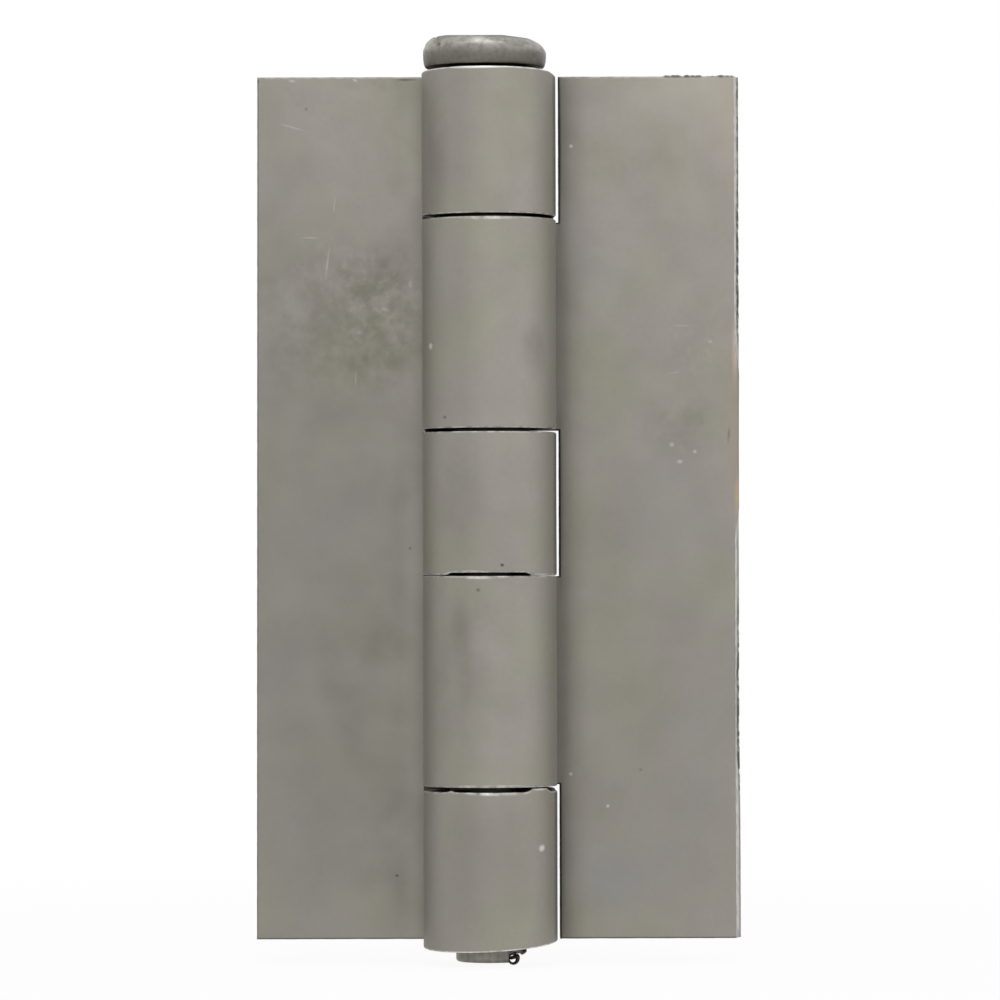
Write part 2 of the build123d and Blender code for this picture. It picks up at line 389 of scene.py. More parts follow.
def rolled_sheet(blank):
    """Closed skin of a rolled leaf. Its front and back are one grid over (s, z), with the notches left
    out, at w = -thickness/2 and +thickness/2. Along the outline a rim joins them: at the front it turns
    through the quarter circle (out sin a, depth (1 - cos a)), runs straight, and turns again at the back.
    Returns points, faces, how far each point is rubbed bright or painted with a highlight, and how far it
    is darkened by grime or painted shade."""
    s_lines, z_lines = blank_lines(blank)
    columns, rows = len(s_lines), len(z_lines)
    index = np.arange(columns * rows).reshape(columns, rows)
    s_middle = (s_lines[:-1] + s_lines[1:]) / 2
    z_middle = (z_lines[:-1] + z_lines[1:]) / 2
    in_tab = np.zeros(rows - 1, bool)
    for low, high in blank.tabs:
        in_tab |= (z_middle > low + blank.edge_round) & (z_middle < high - blank.edge_round)
    kept = (s_middle[:, None] < blank.notch - blank.edge_round) | in_tab[None, :]
    quads = np.stack([index[:-1, :-1], index[1:, :-1], index[1:, 1:], index[:-1, 1:]], axis=-1)[kept]

    # Outline: the directed sides of the kept cells that no neighbour shares, and the way out from each
    sides = np.concatenate([quads[:, [0, 1]], quads[:, [1, 2]], quads[:, [2, 3]], quads[:, [3, 0]]])
    total = columns * rows
    shared = np.isin(sides[:, 0] * total + sides[:, 1], sides[:, 1] * total + sides[:, 0])
    outline = sides[~shared]
    s_grid, z_grid = (grid.ravel() for grid in np.meshgrid(s_lines, z_lines, indexing="ij"))
    step_s = np.sign(s_grid[outline[:, 1]] - s_grid[outline[:, 0]])
    step_z = np.sign(z_grid[outline[:, 1]] - z_grid[outline[:, 0]])
    toward_s, toward_z = np.zeros(total), np.zeros(total)
    for end in (0, 1):
        np.add.at(toward_s, outline[:, end], step_z)
        np.add.at(toward_z, outline[:, end], -step_s)
    on_edge = np.unique(outline)
    s_edge, z_edge = s_grid[on_edge], z_grid[on_edge]
    out_s, out_z = np.sign(toward_s[on_edge]), np.sign(toward_z[on_edge])

    # Rim: rows of points from the front face round the edge to the back face
    half = blank.thickness / 2
    turns = np.radians((18, 36, 54, 72, 90))
    depths = blank.edge_round * (1 - np.cos(turns))
    wall = np.linspace(-half + blank.edge_round, half - blank.edge_round, 5)[1:-1]
    out = np.concatenate([np.sin(turns), np.ones(3), np.sin(turns[::-1])])[:, None]
    w = np.concatenate([-half + depths, wall, half - depths[::-1]])[:, None]

    # Knuckle ends carry a painted highlight on the barrel's outside, which is the sheet's back, and painted
    # black shade in the gaps. In the frame leaf's lower gaps the painted shade is lighter on the barrel's
    # right, where some light gets in. The notch walls get painted shade, the torn lip is darkened as grime,
    # and the other cut edges are darkened too
    outer = out_s < 0
    knuckle_end = (out_z != 0) & (s_edge > blank.notch)
    facing = knuckle_end & (np.abs(z_edge) < NEAR_END)
    outside = np.concatenate([np.zeros(8), (0.3,), np.sin(turns[-2::-1]) ** 0.5])[:, None]
    top_edge = ~knuckle_end & (out_z > 0) & (z_edge > NEAR_END)
    notch_side = (out_s > 0) & (s_edge < blank.reach)
    rubbed = outside * knuckle_end + 0.35 * top_edge
    turned = (s_edge - blank.reach) / blank.middle_radius
    lit_from, lit_to = 0.6, 2.45
    lit = (blank.turn > 0) & (turned > lit_from) & (turned < lit_to) & (z_edge < 0)
    lip = 0.25 + 0.6 * torn_lip(blank, s_edge) * np.linspace(1, 0.1, len(out))[:, None]
    lit_gap, gap_shade, free_end, notch_wall_shade, other_edge = 0.15, 0.97, 0.0, 0.8, 0.45
    edge_darkening = np.select([facing & lit, facing, knuckle_end, top_edge, notch_side],
                        [lit_gap, gap_shade, free_end, lip, notch_wall_shade], other_edge)
    grime = np.where(knuckle_end, 1 - outside, 1.0) * edge_darkening
    out, w = (np.broadcast_to(rim_rows, grime.shape) for rim_rows in (out, w))
    if blank.sheared:
        section = sheared_edge(blank, z_edge, len(out))
        out, w, rubbed, grime = (np.where(outer, a, b) for a, b in zip(section, (out, w, rubbed, grime)))
    burr = out ** 2 * edge_burr(blank, s_edge, z_edge, out_s, out_z)
    inset_s = np.where(outer, blank.outer_inset, blank.edge_round)
    s_rim = s_edge + out_s * (out * inset_s + np.where(out_z == 0, burr, 0))
    z_out = np.where(outer & blank.sheared, np.minimum(out * 1.6, 1), out)
    z_rim = z_edge + out_z * (z_out * blank.edge_round + np.where(out_z != 0, burr, 0))
    rim = sheet_points(blank, s_rim.ravel(), z_rim.ravel(), w.ravel())

    # Faces: front, back, and the strips of the rim
    place = np.zeros(total, int)
    place[on_edge] = np.arange(len(on_edge))
    a, b = outline[:, 0], outline[:, 1]
    starts = 2 * total + len(on_edge) * np.arange(len(out))
    levels = [(a, b)]
    levels += [(start + place[a], start + place[b]) for start in starts]
    levels.append((total + a, total + b))
    strips = [
        np.stack([low[1], low[0], high[0], high[1]], axis=-1) for low, high in zip(levels[:-1], levels[1:])
    ]
    faces = np.concatenate([quads, quads[:, ::-1] + total] + strips)
    skins = [sheet_points(blank, s_grid, z_grid, np.full(total, side)) for side in (-half, half)]
    points = np.concatenate(skins + [rim])
    # Painted shade on the front face where it runs into the crevice under the barrel
    crevice_start = blank.under_barrel + 0.05 * MM
    crevice_shade = 0.92 * (s_grid > crevice_start)
    rubbed = np.concatenate([np.zeros(2 * total), rubbed.ravel()])
    grime = np.concatenate([crevice_shade, np.zeros(total), grime.ravel()])

    # Points inside the notches belong to no face and are dropped
    used = np.unique(faces)
    renumber = np.zeros(len(points), int)
    renumber[used] = np.arange(len(used))
    return points[used], renumber[faces].tolist(), rubbed[used], grime[used]


def closed_rings(rings, rubbed, grime):
    """Join rings of points, shaped (rings, around, 3), into a skin and close both ends with a centre."""
    count, around = rings.shape[:2]
    index = np.arange(count * around).reshape(count, around)
    after = np.roll(index, -1, axis=1)
    quads = np.stack([index[:-1], index[1:], after[1:], after[:-1]], axis=-1).reshape(-1, 4)
    first, last = count * around, count * around + 1
    top = np.stack([np.full(around, first), index[0], after[0]], axis=-1)
    bottom = np.stack([np.full(around, last), after[-1], index[-1]], axis=-1)
    points = np.concatenate([rings.reshape(-1, 3), rings[0].mean(0)[None], rings[-1].mean(0)[None]])
    rubbed, grime = (
        np.append(np.broadcast_to(value, (count, around)).ravel(), (0, 0)) for value in (rubbed, grime)
    )
    return points, quads.tolist() + top.tolist() + bottom.tolist(), rubbed, grime


def turned_pin(sizes):
    """Closed skin of the pin: rings of points from the top of the head down to the cropped end. A ring
    has a height z, a radius r and a centre c left of the axis: x = r sin a - c, y = -r cos a, with a
    from the front round to the right. The head's shoulder is the quarter ellipse from its girth to the
    flat. A forging lap creases the head front left, and the tail's right edge is torn away."""
    seat = HALF_LENGTH + sizes.head_gap
    girth_height = seat + sizes.head_belt
    top = seat + sizes.head_height
    end = -HALF_LENGTH - sizes.tail_projection
    torn_height = end + sizes.tear_height
    girth, flat, shank = sizes.head_diameter / 2, sizes.head_flat_diameter / 2, sizes.diameter / 2
    seat_radius, tail = sizes.head_seat_diameter / 2, sizes.tail_diameter / 2
    tail_round, tear_step, neck_drop, neck_rise = 0.4 * MM, 0.03 * MM, 0.31 * MM, 0.59 * MM
    neck_low, neck_high = -HALF_LENGTH - neck_drop, -HALF_LENGTH + neck_rise
    rise = np.linspace(np.pi / 2, 0, 30)
    turn_in = np.linspace(0, np.pi / 2, 10)[1:]
    flat_share = np.array((0.03, 0.35, 0.65, 0.9))
    shoulder_shift = sizes.head_flat_offset + (sizes.head_offset - sizes.head_flat_offset) * np.cos(rise)
    runs = (
        # heights, radii and centres of: flat, shoulder, underside, shank, neck, tail and cropped end
        (top, flat * flat_share, sizes.head_flat_offset),
        (girth_height + (top - girth_height) * np.sin(rise), flat + (girth - flat) * np.cos(rise),
         shoulder_shift),
        (girth_height - sizes.head_belt * np.sin(turn_in),
         seat_radius + (girth - seat_radius) * np.cos(turn_in), sizes.head_offset),
        (seat, np.array(((seat_radius + shank) / 2, shank)), 0),
        (np.linspace(seat, neck_high, 40)[1:], shank, 0),
        (np.linspace(neck_high, neck_low, 4)[1:], np.linspace(shank, tail, 4)[1:], 0),
        (np.linspace(neck_low, torn_height + tear_step, 4)[1:], tail, 0),
        (np.linspace(torn_height - tear_step, end + tail_round, 5), tail, 0),
        (end + tail_round * (1 - np.sin(turn_in)), tail - tail_round * (1 - np.cos(turn_in)), 0),
        (end, (tail - tail_round) * np.array((0.7, 0.35, 0.03)), 0),
    )
    rings = zip(*(np.broadcast_arrays(*run) for run in runs))
    heights, radii, centres = (np.concatenate(values)[:, None] for values in rings)
    turn = np.linspace(-np.pi, np.pi, 288, endpoint=False)[None, :]
    head = heights >= seat + 0.01 * MM
    up = np.clip((heights - girth_height) / (top - girth_height), 0, 1)

    # Forging lap: a narrow crease that leans left as it climbs, and a small nick where it meets the flat
    lap_width = np.radians(3.2)
    lap = np.radians(-48 - 10 * up ** 2 - 22 * up ** 16)
    shoulder = smooth_step(heights, girth_height - 0.1 * MM, girth_height + 0.7 * MM)
    shoulder = shoulder * (radii > 0.95 * flat)
    crease = np.exp(-((turn - lap) / lap_width) ** 2) * shoulder
    crease = crease * (0.65 + 0.35 * ripple(heights, (0.9 * MM, 0.5 * MM)))
    beyond = (1 - smooth_step(turn, lap - 0.14, lap + 0.02)) * smooth_step(turn, -2.6, -1.9) * shoulder
    uneven = ripple(turn, (2 * np.pi / 3, 2 * np.pi / 7))
    uneven = uneven + ripple(turn + 2 * up, (2 * np.pi / 5, 2 * np.pi / 9))
    wavy = head * smooth_step(radii, flat, girth) * uneven
    unevenness, lap_depth, overlap = 0.035 * MM, 0.22 * MM, 0.12 * MM
    radius = radii + unevenness * wavy - lap_depth * crease + overlap * beyond * (1 - up)

    # Tail: dented skin, and the torn side cut back to a ragged face
    low = heights < neck_low
    dent = ripple(turn, (2 * np.pi / 4, 2 * np.pi / 9, 2 * np.pi / 13))
    dent_depth, tear_roughness = 0.04 * MM, 0.12 * MM
    radius = radius + dent_depth * dent * low * (radii > 0.5 * tail)
    x = radius * np.sin(turn) - centres
    y = -radius * np.cos(turn)
    ragged = tear_roughness * ripple(y, (0.9 * MM, 1.7 * MM, 2.9 * MM))
    x = np.where(heights < torn_height, np.minimum(x, sizes.tear_reach + ragged), x)

    # The head's flat leans down towards the front, and past the axis to the right as well
    lean, right_lean, right_start = math.tan(math.radians(5.5)), 0.13, 1.6 * MM
    leaning = top + 0.31 * MM + lean * y - right_lean * np.maximum(x - right_start, 0)
    z = np.minimum(np.minimum(heights + 0.03 * MM * beyond, top), leaning)
    z = z - 0.16 * MM * crease - 0.02 * MM * np.abs(wavy)
    points = np.stack([PIN_X + x, PIN_Y + y, z], axis=-1)
    # Painted highlights on the head: a band over the shoulder, stronger on the flanks, and a patch at the
    # front; the tail gets a lighter tone
    band = smooth_step(up, -0.05, 0.45) * (1 - 0.75 * smooth_step(up, 0.7, 0.95))
    flanks = smooth_step(np.abs(turn), 0.5, 0.9)
    front_highlight = np.exp(-((turn + 0.08) / 0.4) ** 2) * smooth_step(up, 0.3, 0.55)
    rubbed = head * (band * (0.17 + 0.1 * flanks) + 0.3 * front_highlight * (1 - smooth_step(up, 0.9, 1)))
    rubbed = rubbed + 0.11 * low
    # Painted shade: in the lap's crease, under the head's girth, and black where the shank is inside the
    # barrel. The torn side is darker, the tail is streaked and darker towards its right and its cropped
    # end, and the flat's cut edge gets a dark line
    cut_rim = head * (radii > 0.9 * flat) * (1 - smooth_step(leaning - z, 0, 0.3 * MM))
    streaks_darker_right = low * (0.2 * ripple(turn, (0.23, 0.37, 0.61)) + 0.2 * smooth_step(turn, -0.1, 0.35))
    inside_barrel_shade = (heights < seat + 0.05 * MM) & (heights > neck_low - 0.1 * MM)
    torn = low & (x > sizes.tear_reach - 0.2 * MM)
    underside = head * (1 - smooth_step(heights, girth_height - 0.5 * MM, girth_height + 0.8 * MM))
    bottom_edge = low * (1 - smooth_step(heights, end + 0.1 * MM, end + 0.5 * MM))
    grime = np.maximum(0.6 * crease, 0.98 * inside_barrel_shade) + 0.36 * underside + 0.4 * torn + 0.25 * bottom_edge
    grime = grime + 0.42 * cut_rim + streaks_darker_right
    return closed_rings(points, rubbed, np.clip(grime, 0, 1))


def curled_chip(sizes):
    """The chip that the shear left on the cropped end: a strip carried along the loop x = loop_x cos a,
    z = loop_z sin a, from the upper right round to the upper right again, and then straight across the
    loop to its left side. Its section is an ellipse, thickest at the upper right."""
    end = -HALF_LENGTH - sizes.tail_projection
    middle_x, middle_y, middle_z = PIN_X + 2.6 * MM, PIN_Y - 2.5 * MM, end + 0.5 * MM
    loop_x, loop_z, half_width = 0.54 * MM, 0.62 * MM, 0.5 * MM
    turn = np.radians(np.linspace(50, 385, 110))
    across = np.linspace(0, 1, 31)[1:]
    x = loop_x * np.concatenate([np.cos(turn), np.cos(turn[-1]) - 1.7 * across])
    z = loop_z * np.concatenate([np.sin(turn), np.sin(turn[-1]) - 0.5 * across])
    step_x, step_z = np.gradient(x), np.gradient(z)
    length = np.hypot(step_x, step_z)
    side_x, side_z = step_z / length, -step_x / length
    heavy = 0.21 * MM + 0.06 * MM * np.clip((x + z) / (0.8 * MM), -1, 1)
    taper = np.minimum(1, 0.4 + 6 * np.sin(np.linspace(0, np.pi, len(x))))
    section = np.linspace(0, 2 * np.pi, 14, endpoint=False)[None, :]
    thickness = (heavy * taper)[:, None] * np.cos(section)
    px = middle_x + x[:, None] + side_x[:, None] * thickness
    py = middle_y + half_width * taper[:, None] * np.sin(section)
    pz = middle_z + z[:, None] + side_z[:, None] * thickness
    return closed_rings(np.stack([px, py, pz], axis=-1), 0.0, 0.95)


def torn_flake(sizes):
    """A flake hanging from the torn side: rings that swell and shrink along a short rising line."""
    end = -HALF_LENGTH - sizes.tail_projection
    along = np.linspace(0, 1, 14)[:, None]
    section = np.linspace(0, 2 * np.pi, 14, endpoint=False)[None, :]
    root_x, root_y, root_z = PIN_X + 3.45 * MM, PIN_Y - 1.1 * MM, end + 1.0 * MM
    half_width, reach, rise = 0.3 * MM, 0.75 * MM, 0.3 * MM
    swell = half_width * np.sin(np.pi * (0.06 + 0.86 * along)) ** 0.7
    swell = swell * (1 + 0.15 * np.sin(3 * section + 5 * along))
    x = root_x + reach * along + 0 * section
    y = root_y + 1.3 * swell * np.cos(section)
    z = root_z + rise * along + swell * np.sin(section)
    return closed_rings(np.stack([x, y, z], axis=-1), 0.1, 0.35 + 0.45 * along)


def add_piece(name, shape, material, body, slot, *nodes):
    """Make a mesh object from a shape with its faces pointing outwards, and tie it to the frame."""
    points, faces, rubbed, grime = shape
    mesh = bpy.data.meshes.new(name)
    mesh.from_pydata(points.tolist(), [], faces)
    corners = points[np.array([face[:3] for face in faces])]
    if np.einsum("ij,ij->", corners[:, 0], np.cross(corners[:, 1], corners[:, 2])) < 0:
        mesh.flip_normals()
    mesh.shade_smooth()
    for attribute, values in (("rubbed", rubbed), ("grime", grime)):
        layer = mesh.attributes.new(attribute, "FLOAT", "POINT")
        layer.data.foreach_set("value", values.astype(np.float32))
    mesh.materials.append(material)
    piece = bpy.data.objects.new(name, mesh)
    bpy.context.scene.collection.objects.link(piece)
    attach(piece, body)
    if nodes:
        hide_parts(*nodes)


def linear_colour(hex_value):
    """Linear RGBA of an sRGB hex value."""
    channels = [int(hex_value[i:i + 2], 16) / 255 for i in (0, 2, 4)]
    linear = [c / 12.92 if c <= 0.04045 else ((c + 0.055) / 1.055) ** 2.4 for c in channels]
    return (*linear, 1.0)


def add_node(tree, kind, inputs=None, **settings):
    """Add a shader node with its settings. inputs maps a socket to a value, to a node whose first output is
    linked, or to the output that is linked."""
    node = tree.nodes.new("ShaderNode" + kind)
    for name, value in settings.items():
        setattr(node, name, value)
    for socket, value in (inputs or {}).items():
        if isinstance(value, bpy.types.Node):
            value = value.outputs[0]
        if isinstance(value, bpy.types.NodeSocket):
            tree.links.new(value, node.inputs[socket])
        else:
            node.inputs[socket].default_value = value
    return node


def calculate(tree, operation, *values):
    """Add a maths node with the given values or nodes as its inputs."""
    return add_node(tree, "Math", dict(enumerate(values)), operation=operation)


def empty_tree(owner):
    """Node tree of a new material or world, with nothing in it."""
    owner.use_nodes = True
    owner.node_tree.nodes.clear()
    return owner.node_tree


# Sockets of the Mix node that take and give colours
MIX_FACTOR, MIX_FIRST, MIX_SECOND, MIX_RESULT = 0, 6, 7, 2


def mark_masks(tree, place, surface_y, groups, noises):
    """Masks of stains, scratches and specks. A group has a colour, the noise that breaks its marks up,
    and its marks. A mark is an ellipsoid on the surface, 1 in its middle and 0 at its edge, placed in the
    photograph: its middle, half its width and height in pixels, its strength and, where it leans, the
    angle in degrees."""
    depth = 2.6 * MM
    for colour, noise, *marks in groups:
        for column, row, half_width, half_height, strength, *lean in marks:
            local = add_node(tree, "Mapping", {
                "Vector": place, "Location": photo_place(column, row, surface_y(column)),
                "Rotation": (0, math.radians(sum(lean)), 0),
                "Scale": (half_width * PIXEL, depth, half_height * PIXEL),
            }, vector_type="TEXTURE")
            inside = add_node(tree, "TexGradient", {0: local}, gradient_type="SPHERICAL")
            fade = add_node(tree, "MapRange", {
                "Value": inside.outputs[1], "From Max": 0.8, "To Max": strength,
            }, interpolation_type="SMOOTHSTEP")
            yield calculate(tree, "MULTIPLY", fade, noises[noise]), colour


def noise_masks(tree, place, patterns):
    """Masks made of noise. Each pattern gives the size of its blotches, its detail, the noise values that
    become the ends of the mask, and the mask's values at those ends."""
    for size, detail, low, high, to_low, to_high in patterns:
        noise = add_node(tree, "TexNoise", {
            "Vector": place, "Scale": 1 / size, "Detail": detail, "Roughness": 0.55})
        yield add_node(tree, "MapRange", {
            "Value": noise, "From Min": low, "From Max": high, "To Min": to_low, "To Max": to_high})


def bare_steel(name, cool, warm, colours, surface_y, marks, dullness, mottle):
    """Bare mild steel, rolled or drawn and lightly oiled: a dull grey that shows the light softly and
    mirrors nothing, with faint greenish and violet blotches, stains, specks, scratches, edges that are
    rubbed bright, grime, and painted shade in the gaps and painted highlights on the rims."""
    material = bpy.data.materials.new(name)
    tree = empty_tree(material)
    place = add_node(tree, "TexCoord").outputs["Object"]
    blotch, drift, grain, fine, soft, grit, wear, dull = noise_masks(tree, place, (
        (12 * MM, 2.0, 0.34, 0.66, 0.0, 1.0),
        (14 * MM, 3.0, 0.30, 0.70, 1 - mottle, 1 + mottle),
        (0.6 * MM, 4.0, 0.30, 0.70, 1 - mottle, 1 + mottle),
        (2.2 * MM, 5.0, 0.36, 0.64, 0.0, 1.0),
        (5 * MM, 3.0, 0.30, 0.62, 0.4, 1.0),
        (1.0 * MM, 2.5, 0.50, 0.74, 0.0, 1.0),
        (1.1 * MM, 4.0, 0.36, 0.60, 0.2, 1.0),
        (5 * MM, 3.0, 0.30, 0.70, dullness - 0.05, dullness + 0.06),
    ))
    tint = add_node(tree, "Mix", {
        MIX_FACTOR: blotch, MIX_FIRST: linear_colour(cool), MIX_SECOND: linear_colour(warm),
    }, data_type="RGBA")
    tone = calculate(tree, "MULTIPLY", drift, grain)
    toned = add_node(tree, "VectorMath", {
        0: tint.outputs[MIX_RESULT], "Scale": tone}, operation="SCALE")
    colour = toned.outputs[0]

    # Layers over the base: marks, among them painted shade and painted highlights, then rubbed edges and
    # painted highlights, then grime and painted shade
    noises = {"fine": fine, "soft": soft, "grit": grit, "no": 1.0}
    layers = list(mark_masks(tree, place, surface_y, marks, noises))
    rubbed = add_node(tree, "Attribute", attribute_name="rubbed").outputs["Fac"]
    layers.append((calculate(tree, "MULTIPLY", rubbed, wear), colours.bright))
    grime = add_node(tree, "Attribute", attribute_name="grime").outputs["Fac"]
    layers.append((grime, colours.grime))
    for mask, hex_value in layers:
        layer = add_node(tree, "Mix", {
            MIX_FACTOR: mask, MIX_FIRST: colour, MIX_SECOND: linear_colour(hex_value)}, data_type="RGBA")
        colour = layer.outputs[MIX_RESULT]

    # Skin of the sheet: a fine tooth, drawn at 0.25 mm so that it shows
    tooth = add_node(tree, "TexNoise", {
        "Vector": place, "Scale": 1 / (0.25 * MM), "Detail": 3.0, "Roughness": 0.6})
    bump = add_node(tree, "Bump", {"Height": tooth, "Strength": 0.2, "Distance": 0.02 * MM})
    smoother = calculate(tree, "MULTIPLY_ADD", rubbed, -0.2, dull)
    shader = add_node(tree, "BsdfPrincipled", {
        "Base Color": colour, "Roughness": smoother, "Normal": bump, "Metallic": 0.6})
    add_node(tree, "OutputMaterial", {"Surface": shader})
    return material


def white_paper(name):
    """White paper: pure white to the camera and in reflections, apart from the soft shadow on it."""
    material = bpy.data.materials.new(name)
    tree = empty_tree(material)
    shadow_reach, shadow_tone = 0.25, 0.93
    path = add_node(tree, "LightPath")
    seen = calculate(tree, "MAXIMUM", path.outputs["Is Camera Ray"], path.outputs["Is Glossy Ray"])
    place = add_node(tree, "TexCoord").outputs["Object"]
    near = add_node(tree, "Mapping", {
        "Vector": place, "Location": (PIN_X, 0, PIN_LOW.z), "Scale": [shadow_reach] * 3,
    }, vector_type="TEXTURE")
    inside = add_node(tree, "TexGradient", {0: near}, gradient_type="SPHERICAL")
    shine = add_node(tree, "MapRange", {
        "Value": inside.outputs[1], "From Max": 0.6, "To Min": 1.0, "To Max": shadow_tone})
    share = calculate(tree, "MULTIPLY", seen, shine)
    paper = add_node(tree, "BsdfDiffuse", {"Color": linear_colour("f6f6f4")})
    glow = add_node(tree, "Emission", {"Color": (1, 1, 1, 1), "Strength": 1.0})
    mix = add_node(tree, "MixShader", {0: share, 1: paper, 2: glow})
    add_node(tree, "OutputMaterial", {"Surface": mix})
    return material


def knuckle_stack(sizes):
    """Lower and upper ends of the knuckles, from the top of the stack down."""
    ends = []
    upper = HALF_LENGTH
    lengths = (sizes.top_knuckle, sizes.door_knuckle, sizes.middle_knuckle, sizes.door_knuckle)
    gaps = (sizes.knuckle_gap, sizes.knuckle_gap, sizes.knuckle_gap, sizes.bottom_gap)
    for length, gap in zip(lengths, gaps):
        ends.append((upper - length, upper))
        upper -= length + gap
    ends.append((-HALF_LENGTH, upper))
    return ends


def roll_angle(sizes):
    """Angle that a tab is rolled through: once round, until it almost meets its own leaf."""
    bore = BARREL_RADIUS - sizes.plate_thickness
    return 1.5 * math.pi + math.asin((bore - sizes.seam_gap) / BARREL_RADIUS)


def leaf_front(sizes):
    """Where a mark lies: on a leaf's front face, or on the barrel's front where it is on a knuckle."""
    def surface_y(column):
        across = AIM_X + (column - PHOTO_MIDDLE) * PIXEL
        if abs(across) < BARREL_RADIUS:
            return PIN_Y - math.sqrt(BARREL_RADIUS ** 2 - across ** 2)
        return -sizes.plate_thickness
    return surface_y


def gap_fills(stack, gap, bottom_gap):
    """How the frame leaf's tabs fill the gaps beside them. Their roots fill them behind the pin, and the
    ends of the rolls fill them at some places in front. Angles run in radians from the back over the
    right side, the front and the left side. A fill below 0 opens its gap further."""
    top, middle, bottom = stack[0], stack[2], stack[4]
    behind, past_end = -1, 7
    return (
        (top, -1, behind, 0.3, gap), (top, -1, 0.3, 1.3, 0.8 * gap), (top, -1, 4.2, past_end, -0.12 * MM),
        (middle, 1, behind, 0.3, gap), (middle, 1, 0.3, 0.55, 0.8 * gap), (middle, 1, 4.45, past_end, gap),
        (middle, -1, behind, 0.3, gap), (middle, -1, 0.3, 1.3, 0.8 * gap),
        (middle, -1, 1.3, 2.44, gap), (middle, -1, 3.75, past_end, 0.8 * gap),
        (bottom, 1, behind, 0.3, bottom_gap), (bottom, 1, 0.3, 1.3, 0.58 * bottom_gap),
        (bottom, 1, 2.02, 2.44, 0.85 * bottom_gap), (bottom, 1, 3.68, 3.76, 0.45 * bottom_gap),
    )


def add_leaf(scene, node, body, marks, **own):
    """Roll a leaf from a blank with its own sizes, in marked steel, in place of a node of the frame."""
    sizes, colours = scene.hinge_leaves, scene.hinge_colours
    blank = Blank(
        thickness=sizes.plate_thickness, curl=roll_angle(sizes), edge_round=sizes.edge_round, **own)
    dullness, mottle = 0.52, 0.022
    steel = bare_steel(
        "rolled_mild_steel_" + node, colours.green_grey, colours.violet_grey, colours,
        leaf_front(sizes), marks, dullness, mottle)
    add_piece(node + "_rolled", rolled_sheet(blank), steel, body, "leaf_steel", node)


class HINGE_OT_frame_leaf(bpy.types.Operator):
    """Roll the frame leaf, with its three knuckles, from its blank"""

    bl_idname = "hinge.frame_leaf"
    bl_label = "Frame leaf"

    def execute(self, context):
        sizes = context.scene.hinge_leaves
        colours = context.scene.hinge_colours
        stack = knuckle_stack(sizes)
        gap, bottom_gap = sizes.knuckle_gap - sizes.root_play, sizes.bottom_gap - sizes.root_play
        top_heading, bottom_heading = math.radians(-105), math.radians(52)
        marks = (
            # Groups of like marks, from the wide stains, painted shade and painted light to the specks and
            # painted highlights
            # Painted shade beside the barrel's right flank
            (colours.grime, "no", (556, 508, 5.5, 3000, 0.45)),
            (colours.slate, "no", (300, 620, 190, 560, 0.4), (262, 200, 60, 220, 0.14)),
            (colours.olive, "fine", (340, 325, 130, 110, 0.36), (385, 285, 70, 55, 0.34),
             (385, 345, 70, 55, 0.32)),
            (colours.slate, "soft", (335, 408, 34, 28, 0.28)),
            (colours.olive, "soft", (365, 642, 55, 36, 0.27)),
            (colours.slate, "soft", (340, 700, 30, 90, 0.25, -18), (400, 850, 60, 120, 0.25)),
            (colours.olive, "soft", (436, 150, 28, 110, 0.3), (460, 500, 45, 80, 0.15)),
            (colours.slate, "no", (500, 500, 110, 110, 0.1)),
            (colours.mauve, "no", (490, 860, 110, 110, 0.2)),
            # Painted light where the leaf meets the barrel's left side
            (colours.junction_light, "no", (422, 508, 26, 3000, 0.085)),
            (colours.olive, "fine", (372, 84, 45, 10, 0.22)),
            (colours.bright, "soft", (293, 80, 4.5, 2, 0.3, 12), (356, 79.5, 3.5, 2, 0.3, 35)),
            (colours.grime, "fine", (408, 79, 14, 2, 0.6)),
            (colours.grime, "no", (258, 80, 3, 3, 0.5)),
            (colours.dusty, "grit", (378, 300, 75, 75, 0.2), (328, 260, 50, 40, 0.14)),
            (colours.bright, "soft", (292, 126, 18, 1.3, 0.16, 16), (328, 262, 22, 1.3, 0.14, 97),
             (311, 237, 12, 1.3, 0.12), (335, 205, 13, 1.3, 0.1, 98), (356, 377, 12, 1.3, 0.12, 92)),
            (colours.bright, "fine", (411, 284, 3, 7, 0.3)),
            (colours.bright, "soft", (360, 332, 4, 3, 0.14), (386, 309, 6, 3, 0.12, 20),
             (541, 848, 4, 5, 0.6, 20)),
            # Painted highlights on the knuckle rims under the head and beside the gaps
            (colours.bright, "no", (478, 65.6, 42, 2.4, 0.85)),
            (colours.bright, "fine", (497, 794, 40, 2.6, 0.75), (463, 571.5, 26, 2, 0.6)),
            (colours.grime, "soft", (307, 108, 2.5, 2.5, 0.35), (410, 548, 2.5, 2.2, 0.7),
             (502, 565, 2.8, 2.2, 0.8), (396, 875, 2.4, 2.2, 0.6)),
        )
        add_leaf(
            context.scene, "frame_leaf", "frame_side", marks,
            turn=1, reach=PIN_X - FRAME_LOW.x - sizes.frame_edge_skew / 2,
            notch_reach=sizes.frame_notch_reach, tabs=[stack[0], stack[2], stack[4]],
            outer_inset=sizes.outer_round, skew=sizes.frame_edge_skew,
            fills=gap_fills(stack, gap, bottom_gap),
            slopes=(
                (stack[0], 1, 0.0, sizes.top_tilt, top_heading),
                (stack[4], -1, sizes.bottom_overhang, sizes.bottom_tilt, bottom_heading),
            ))
        return {"FINISHED"}


